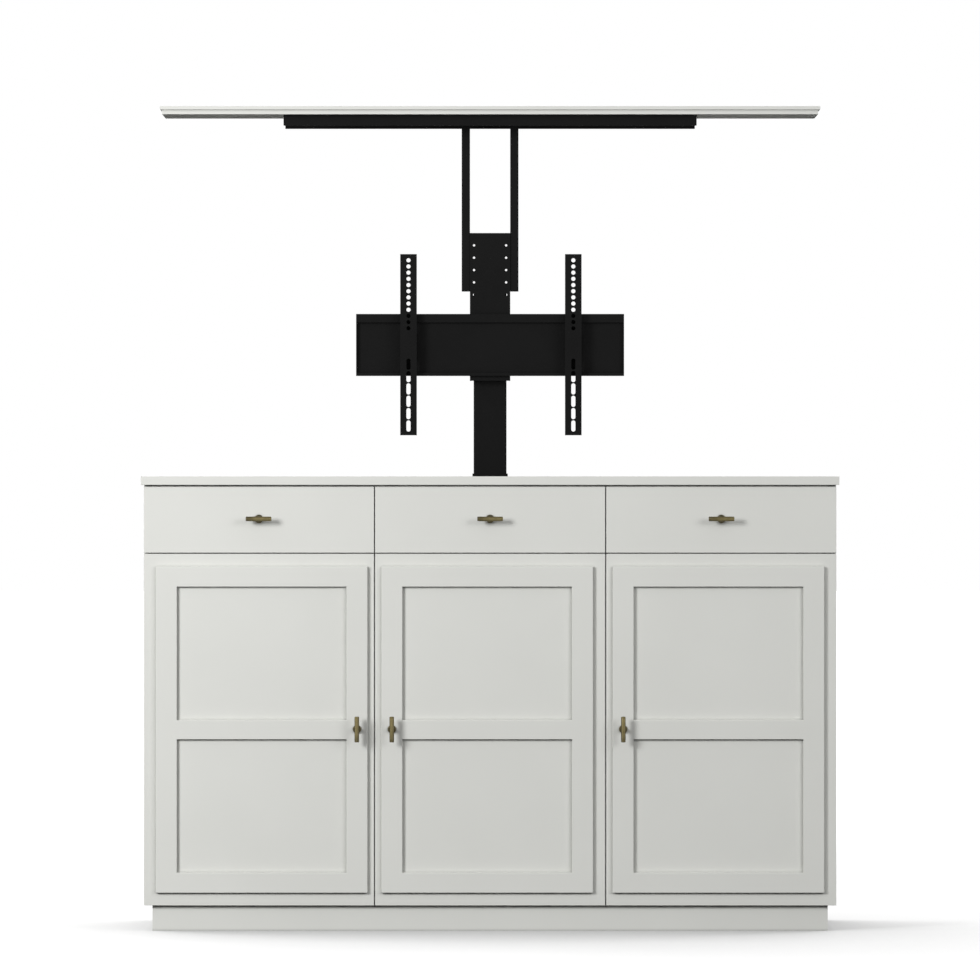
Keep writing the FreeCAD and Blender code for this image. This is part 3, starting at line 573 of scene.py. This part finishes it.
def slide_screws():
    """Four screws in the web of each drawer slide's channel."""
    low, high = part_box("slide_channels")
    middle = (low.z + high.z) / 2
    web, inset, spread = 1.2 * MM, 6 * MM, 14 * MM
    faces = []
    for left, right in zip(UPRIGHT_PANELS, UPRIGHT_PANELS[1:]):
        faces += [(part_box(left)[1].x, 1), (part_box(right)[0].x, -1)]
    shape = Shape()
    for x, inward in faces:
        for y in (low.y + inset, high.y - inset):
            for rise in (-spread, spread):
                shape.screw_head((x + inward * web, y, middle + rise), X * inward,
                                 radius=2.6 * MM, height=0.5 * MM)
    shape.piece("slide_screws", ZINC, "cabinet", "bolt_steel")


def back_screws():
    """Flush screws along the edges of the back panel."""
    low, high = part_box("back_panel")
    inset, pitch, sink = 14 * MM, 230 * MM, 0.2 * MM
    left, right = low.x + inset, high.x - inset
    bottom, top = low.z + inset, high.z - inset
    places = []
    for x in evenly(left, right, round((right - left) / pitch)):
        places += [(x, bottom), (x, top)]
    for z in evenly(bottom, top, round((top - bottom) / pitch))[1:-1]:
        places += [(left, z), (right, z)]
    shape = Shape()
    for x, z in places:
        shape.screw_head((x, high.y - sink, z), Y, radius=3.8 * MM, height=0.8 * MM)
    shape.piece("back_panel_screws", ZINC, "cabinet", "bolt_steel")


hinge_plate_screws()
slide_screws()
back_screws()


# ---------------------------------------------------------------- lift

# Profiles and radii in millimetres.
PLATE_WASHER = ((0, 4.9), (0.7, 4.9), (0.7, 3.0))
PLATE_BOLT_HEAD = ((0, 4.7), (2.7, 4.7), (3.2, 3.9))
PLATE_NUT = ((0, 4.2), (0.5, 4.9), (3.8, 4.9), (4.4, 4.2))
BASE_WASHER = ((0, 5.5), (0.8, 5.5), (0.8, 4.0))
BASE_BOLT_HEAD = ((0, 4.9), (2.7, 4.9), (3.2, 4.2))

GEAR_HEIGHT, GEAR_HALF_DEPTH, GEAR_CORNER = 56 * MM, 25 * MM, 3 * MM
SPLIT_LEVEL, SPLIT_HALF = 34 * MM, 0.6 * MM    # groove between the halves of the gearbox
GEAR_CORE_INSET = Vector((3, 3, 4)) * MM       # of the block that closes the groove inside
MOTOR_RADIUS, BARREL_RADIUS, RIB_RADIUS = 30.0, 28.4, 29.2
MOTOR_FOOT = ((0, 29.4), (5, MOTOR_RADIUS), (9, MOTOR_RADIUS), (9.6, BARREL_RADIUS))
MOTOR_RIB = ((0, BARREL_RADIUS), (1, RIB_RADIUS), (5, RIB_RADIUS), (6, BARREL_RADIUS))
MOTOR_RIB_STARTS = range(16, 100, 12)
MOTOR_CAP = ((-34, BARREL_RADIUS), (-33.4, 29.6), (-4, 29.6), (-1.2, 28.6), (0, 26))
CABLE_GLAND = ((0, 6), (3.4, 6), (3.8, 4.4), (9, 4.2), (10, 3.2))

CARRIER_WASHER = ((0, 7), (1.2, 7), (1.4, 4))

INLET_HEIGHT = 18 * MM        # of the power inlet under the housing of the control box


def washer_and_head(shape, seat, axis, washer, head):
    """A washer on its seat, and on it the head of a hexagon bolt."""
    thickness = washer[-1][0] * MM
    shape.turned(seat, axis, scaled(washer), sides=WASHER_SIDES)
    shape.turned(seat + axis * thickness, axis, scaled(head), sides=HEXAGON)


def head_plate_bolts():
    """Bolts through the flanges of the head plate, with washers and nuts."""
    low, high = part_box("flange_bolts")
    end_inset, flange, nut_room = 5 * MM, 3 * MM, 5 * MM
    shank, shank_start, tip, tip_radius = 2.8 * MM, 1 * MM, 0.9 * MM, 2.2 * MM
    y = (low.y + high.y) / 2
    seat_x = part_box("carriage_plate")[1].x - flange
    nut_x = high.x - nut_room
    reach = high.x - seat_x
    shape = Shape()
    for side in (-1, 1):
        outward = X * side
        for z in (low.z + end_inset, high.z - end_inset):
            seat = Vector((side * seat_x, y, z))
            washer_and_head(shape, seat, -outward, PLATE_WASHER, PLATE_BOLT_HEAD)
            shape.turned(seat - outward * shank_start, outward,
                         ((0, shank), (reach, shank), (reach + tip, tip_radius)),
                         sides=SHANK_SIDES)
            shape.turned((side * nut_x, y, z), outward, scaled(PLATE_NUT), sides=HEXAGON)
    shape.piece("head_plate_bolts", ZINC, "lift_head", "bolt_steel", ["flange_bolts"])


def base_bolts():
    """Bolts through the base plate into the bottom panel."""
    low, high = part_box("base_screws")
    end_inset, shank = 5.5 * MM, 3 * MM
    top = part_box("lift_base")[1].z
    shape = Shape()
    for x in (low.x + end_inset, high.x - end_inset):
        for y in (low.y + end_inset, high.y - end_inset):
            shape.turned((x, y, low.z), Z, ((0, shank), (top - low.z, shank)),
                         sides=SHANK_SIDES)
            washer_and_head(shape, Vector((x, y, top)), Z, BASE_WASHER, BASE_BOLT_HEAD)
    shape.piece("base_bolts", ZINC, "cabinet", "bolt_steel", ["base_screws"])


def lift_motor():
    """Gearbox with a split line and screws, and a motor with an end cap and ribs."""
    low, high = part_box("motor_unit")
    motor_x, motor_y = high.x - MOTOR_RADIUS * MM, (low.y + high.y) / 2
    gear_low = Vector((low.x, motor_y - GEAR_HALF_DEPTH, low.z))
    gear_high = Vector((high.x, motor_y + GEAR_HALF_DEPTH, low.z + GEAR_HEIGHT))
    split = low.z + SPLIT_LEVEL
    shape = Shape()
    shape.block(gear_low, (gear_high.x, gear_high.y, split - SPLIT_HALF),
                radius=GEAR_CORNER, segments=3)
    shape.block((gear_low.x, gear_low.y, split + SPLIT_HALF), gear_high,
                radius=GEAR_CORNER, segments=3)
    shape.block(gear_low + GEAR_CORE_INSET, gear_high - GEAR_CORE_INSET)
    screw_inset, screw_pitch = 9 * MM, 21 * MM
    for x in (gear_low.x + screw_inset, gear_low.x + screw_inset + screw_pitch):
        for y in (gear_low.y + screw_inset, gear_high.y - screw_inset):
            shape.screw_head((x, y, gear_high.z - HEAD_SINK), Z,
                             radius=4 * MM, height=2.4 * MM)
    top = (high.z - gear_high.z) / MM
    body = list(MOTOR_FOOT)
    for start in MOTOR_RIB_STARTS:
        body += [(start + distance, radius) for distance, radius in MOTOR_RIB]
    body += [(top + distance, radius) for distance, radius in MOTOR_CAP]
    shape.turned((motor_x, motor_y, gear_high.z), Z, scaled(body), sides=56)
    gland_aside, gland_drop = 26 * MM, 18 * MM
    shape.turned((motor_x - gland_aside, motor_y, high.z - gland_drop), -X,
                 scaled(CABLE_GLAND), sides=24)
    shape.piece("lift_motor", POWDER, "cabinet", "black_steel", ["motor_unit"])


def collar_screws():
    """Set screws in the sides of the two guide collars."""
    spread, drop, sink = 16 * MM, 6.5 * MM, 0.2 * MM
    for node, body in (("outer_column", "cabinet"), ("middle_column", "lift_middle")):
        low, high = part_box(node)
        middle = (low.y + high.y) / 2
        shape = Shape()
        for x, outward in ((low.x, -1), (high.x, 1)):
            for y in (middle - spread, middle + spread):
                shape.screw_head((x - outward * sink, y, high.z - drop), X * outward,
                                 radius=2.2 * MM, height=0.35 * MM)
        shape.piece(f"{node}_set_screws", ZINC, body, "bolt_steel")


def carrier_screws():
    """Screws and washers under the web of the carrier, into the lid."""
    low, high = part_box("lid_carrier")
    web, end_inset, row_inset, steps = 2 * MM, 60 * MM, 24 * MM, 4
    washer = CARRIER_WASHER[1][0] * MM
    z = high.z - web
    shape = Shape()
    for x in evenly(low.x + end_inset, high.x - end_inset, steps):
        for y in (low.y + row_inset, high.y - row_inset):
            shape.turned((x, y, z), -Z, scaled(CARRIER_WASHER), sides=WASHER_SIDES)
            shape.screw_head((x, y, z - washer), -Z, radius=4.2 * MM, height=2.6 * MM)
    shape.piece("carrier_screws", ZINC, "lift_head", "bolt_steel")


def control_box_screws():
    """Four screws in the front of the control box."""
    low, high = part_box("control_box")
    inset = 9 * MM
    shape = Shape()
    for x in (low.x + inset, high.x - inset):
        for z in (low.z + INLET_HEIGHT + inset, high.z - inset):
            shape.screw_head((x, low.y + HEAD_SINK, z), -Y,
                             radius=3.4 * MM, height=0.6 * MM)
    shape.piece("control_box_screws", ZINC, "cabinet", "bolt_steel")


def control_box_ribs():
    """Ribs on the front of the control box, and two small sockets under it."""
    low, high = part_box("control_box")
    count, pitch, width, start = 9, 10 * MM, 4 * MM, 60 * MM
    bottom_drop, top_drop, proud, sink = 46 * MM, 18 * MM, 0.5 * MM, 0.4 * MM
    rib_edge, socket_edge = 0.4 * MM, 0.8 * MM
    shape = Shape()
    for i in range(count):
        x = low.x + start + i * pitch
        shape.block((x, low.y - proud, high.z - bottom_drop),
                    (x + width, low.y + sink, high.z - top_drop), radius=rib_edge)
    housing_foot = low.z + INLET_HEIGHT
    socket_width, socket_front, socket_back = 14 * MM, 12 * MM, 26 * MM
    socket_drop, socket_sink = 5 * MM, 1 * MM
    for aside in (34 * MM, 56 * MM):
        x = low.x + aside
        shape.block((x, low.y + socket_front, housing_foot - socket_drop),
                    (x + socket_width, low.y + socket_back, housing_foot + socket_sink),
                    radius=socket_edge)
    shape.piece("control_box_ribs", PLASTIC, "cabinet", "black_plastic")


head_plate_bolts()
base_bolts()
lift_motor()
collar_screws()
carrier_screws()
control_box_screws()
control_box_ribs()


# ---------------------------------------------------------------- floor, world and lamps

WHITE = rgba((1.0, 1.0, 1.0))
FLOOR_HALF = 60.0
FLOOR_ALBEDO_SEEN = 0.5       # of the floor that the camera sees, lit like the object
FLOOR_ALBEDO_BOUNCE = 0.005   # of the floor that lights the object from below
FLOOR_GLOW_BASE = -0.154      # glow of the seen floor where all its light is shaded
# Shares of that glow that drop as painted shadow where ambient occlusion finds the object:
# share, reach and where it comes from.
FLOOR_PAINTED_SHADOW_SHARES = ((0.215, 0.5, (0.383, 0.321, 0.866)), (0.615, 2.0, (-0.383, 0.663, 0.643)))
FAR_FLOOR = (3.0, 8.0)        # between these distances the floor goes to plain white
FAR_FLOOR_GLOW = 0.7
FLOOR_SAMPLES = 16
SKY_LOW, SKY_HIGH = 0.02, 0.44
SKY_SPAN = (-0.5, 0.5)        # heights of a direction between which the sky gets brighter
LAMP_TARGET = Vector((0.0, door_face, 0.8))


def seen_rays(n):
    """1 for rays that show the surroundings: camera, glossy and transmission rays."""
    path = n.add("LightPath")
    return n.math("MAXIMUM", path.outputs["Is Camera Ray"],
                  n.math("MAXIMUM", path.outputs["Is Glossy Ray"],
                         path.outputs["Is Transmission Ray"]))


def make_floor():
    """A pale floor with the object's shadow from the lamps and a painted shadow in its glow;
    little of its light reaches the object.
    """
    data = bpy.data.meshes.new("floor")
    data.from_pydata([(-FLOOR_HALF, -FLOOR_HALF, 0), (FLOOR_HALF, -FLOOR_HALF, 0),
                      (FLOOR_HALF, FLOOR_HALF, 0), (-FLOOR_HALF, FLOOR_HALF, 0)], [],
                     [(0, 1, 2, 3)])
    floor = bpy.data.objects.new("floor", data)
    bpy.context.scene.collection.objects.link(floor)
    material = bpy.data.materials.new("pale_floor")
    data.materials.append(material)
    n = Nodes(material)
    shown = n.add("BsdfDiffuse", {"Color": rgba([FLOOR_ALBEDO_SEEN] * 3)}).outputs[0]
    glow_level = FLOOR_GLOW_BASE
    # Painted shadow: each share of the glow drops where ambient occlusion, leaned this way,
    # finds the object.
    for share, reach, direction in FLOOR_PAINTED_SHADOW_SHARES:
        lean = n.add("CombineXYZ", dict(enumerate(direction))).outputs[0]
        painted_floor_shadow = n.add("AmbientOcclusion", {"Distance": reach, "Normal": lean},
                     samples=FLOOR_SAMPLES)
        glow_level = n.math("ADD", glow_level, n.math("MULTIPLY", painted_floor_shadow.outputs["AO"], share))
    place = n.add("TexCoord").outputs["Object"]
    distance = n.add("VectorMath", {0: place}, operation="LENGTH").outputs["Value"]
    far_glow = n.span(distance, *FAR_FLOOR, 0.0, FAR_FLOOR_GLOW)
    glow_level = n.math("ADD", glow_level, far_glow)
    glow = n.add("Emission", {"Color": WHITE, "Strength": glow_level}).outputs[0]
    bounce = n.add("BsdfDiffuse", {"Color": rgba([FLOOR_ALBEDO_BOUNCE] * 3)}).outputs[0]
    lit = n.add("AddShader", {0: shown, 1: glow}).outputs[0]
    mixed = n.add("MixShader", {0: seen_rays(n), 1: bounce, 2: lit}).outputs[0]
    n.add("OutputMaterial", {"Surface": mixed})


def make_world():
    """A soft sky that lights the object, and a white one where it is seen."""
    world = bpy.data.worlds.new("studio")
    bpy.context.scene.world = world
    n = Nodes(world)
    direction = n.add("TexCoord").outputs["Generated"]
    height = n.add("SeparateXYZ", {0: direction}).outputs["Z"]
    level = n.span(height, *SKY_SPAN, SKY_LOW, SKY_HIGH)
    sky = n.add("Background", {"Color": WHITE, "Strength": level}).outputs[0]
    white = n.add("Background", {"Color": WHITE, "Strength": 1.0}).outputs[0]
    shown = n.add("MixShader", {0: seen_rays(n), 1: sky, 2: white}).outputs[0]
    n.add("OutputWorld", {"Surface": shown})


def lamp(name, azimuth, elevation, distance, size, level, aim=(0.0, 0.0, 0.0)):
    """Disk lamp seen from its target; level is what it adds there to a white card facing it.

    It points beside the target by aim, so that its light falls off across the object."""
    data = bpy.data.lights.new(name, "AREA")
    data.shape = "DISK"
    data.size = size
    a, e = math.radians(azimuth), math.radians(elevation)
    away = Vector((math.sin(a) * math.cos(e), -math.cos(a) * math.cos(e), math.sin(e)))
    back = (away * distance - Vector(aim)).normalized()
    data.energy = level * math.pi ** 2 * distance ** 2 / back.dot(away)
    piece = bpy.data.objects.new(name, data)
    piece.location = LAMP_TARGET + away * distance
    piece.rotation_euler = back.to_track_quat("Z", "Y").to_euler()
    bpy.context.scene.collection.objects.link(piece)


make_floor()
make_world()
lamp("key_lamp", azimuth=-44, elevation=16, distance=6.5, size=2.7, level=0.70,
     aim=(-3.8, 0.0, 2.0))
lamp("fill_lamp", azimuth=45, elevation=15.5, distance=6.0, size=3.0, level=0.29,
     aim=(0.5, 0.0, 2.4))
for name, azimuth in (("back_left_lamp", -120), ("back_right_lamp", 120)):
    lamp(name, azimuth, elevation=22, distance=6.0, size=2.0, level=0.25)

bpy.context.scene.view_settings.view_transform = "Standard"
